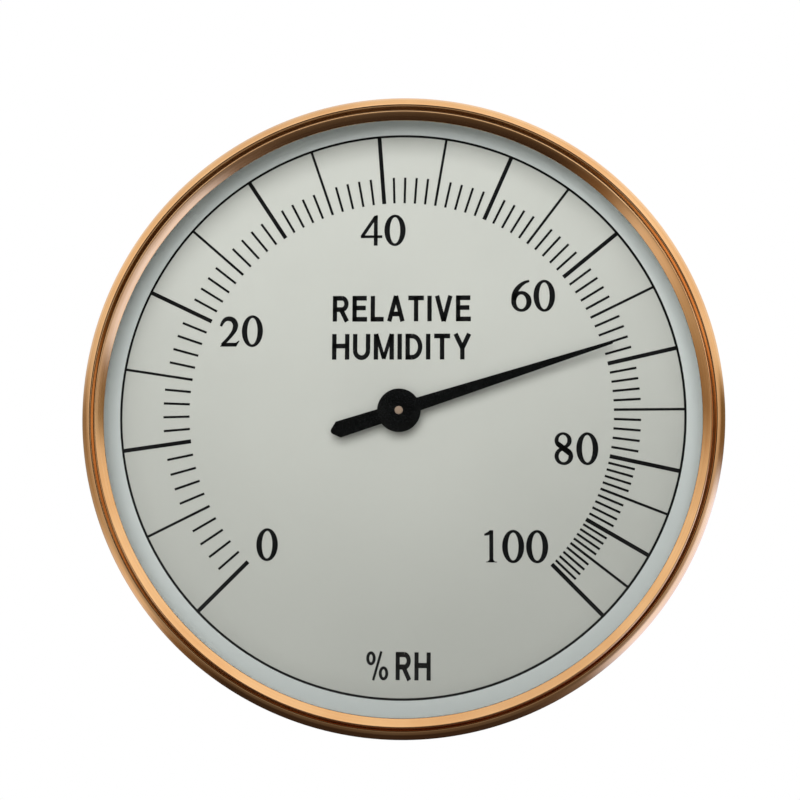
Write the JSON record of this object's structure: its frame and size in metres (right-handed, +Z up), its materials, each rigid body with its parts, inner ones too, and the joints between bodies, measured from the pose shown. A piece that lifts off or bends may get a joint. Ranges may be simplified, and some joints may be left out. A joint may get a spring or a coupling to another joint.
{
  "type": "dial hygrometer",
  "caption": "Round wall hygrometer: copper bezel, glass, printed dial with a non-linear humidity scale, pointer, and a hair, sector and pinion movement in a pressed case.",
  "frame": {"origin": "centre of the flat case back, on the wall plane", "axes": "+Y into the wall, so the dial looks along -Y; +Z up the dial; +X to the right of a person reading it"},
  "size_m": [0.099, 0.0279, 0.099],
  "materials": {
    "bezel": "copper-coloured, brushed round the ring, clear lacquered",
    "glass": "clear, polished",
    "dial": "silver grey satin paint with black printing",
    "pointer": "black satin paint",
    "spacer": "white, matt",
    "gasket": "black, matt",
    "case": "zinc plated, dull",
    "movement": "satin",
    "steel": "turned",
    "hair": "degreased hair"
  },
  "bodies": {
    "case": {"case_cup": "case", "bezel_ring": "bezel", "lens_gasket": "gasket", "glass_lens": "glass", "spacer_ring": "spacer", "dial_plate": "dial", "base_plate": "movement", "bridge_plate": "movement", "pillar_1": "movement", "bridge_screw_1": "steel", "mount_spacer_1": "movement", "mount_screw_1": "steel", "pillar_2": "movement", "bridge_screw_2": "steel", "mount_spacer_2": "movement", "mount_screw_2": "steel", "pillar_3": "movement", "bridge_screw_3": "steel", "mount_spacer_3": "movement", "mount_screw_3": "steel", "pointer_rear_bush": "movement", "pointer_front_bush": "movement", "sector_rear_bush": "movement", "sector_front_bush": "movement", "regulator_bush": "steel", "hairspring_stud": "movement", "hair_bundle": "hair"},
    "sector": {"sector_gear": "movement", "sector_arbor": "steel", "hair_lever": "movement", "hair_clamp": "steel"},
    "pointer": {"pointer_arbor": "steel", "pinion": "movement", "pointer": "pointer", "pointer_hub": "movement", "hairspring_collet": "movement", "hairspring": "steel"},
    "regulator": {"regulator_peg": "movement"}
  },
  "joints": [
    {"name": "pointer_turn", "type": "hinge", "parent": "case", "child": "pointer", "pos_m": [0, -0.0225, 0], "axis": [0, -1, 0], "range_deg": [-62.76, 207.24], "stiffness_Nm_per_rad": 0.0006, "deforming": ["hairspring"]},
    {"name": "sector_swing", "type": "hinge", "parent": "case", "child": "sector", "pos_m": [0.024, -0.012, -0.01], "axis": [0, -1, 0], "range_deg": [-17.28, 5.24], "deforming": ["hair_bundle"]},
    {"name": "regulator_turn", "type": "hinge", "parent": "case", "child": "regulator", "pos_m": [-0.032, -0.006, -0.0121], "axis": [0, -1, 0], "range_deg": [-30, 30]}
  ],
  "couplings": [
    {"joint": "sector_swing", "follows": "pointer_turn", "ratio": -0.083333}
  ]
}
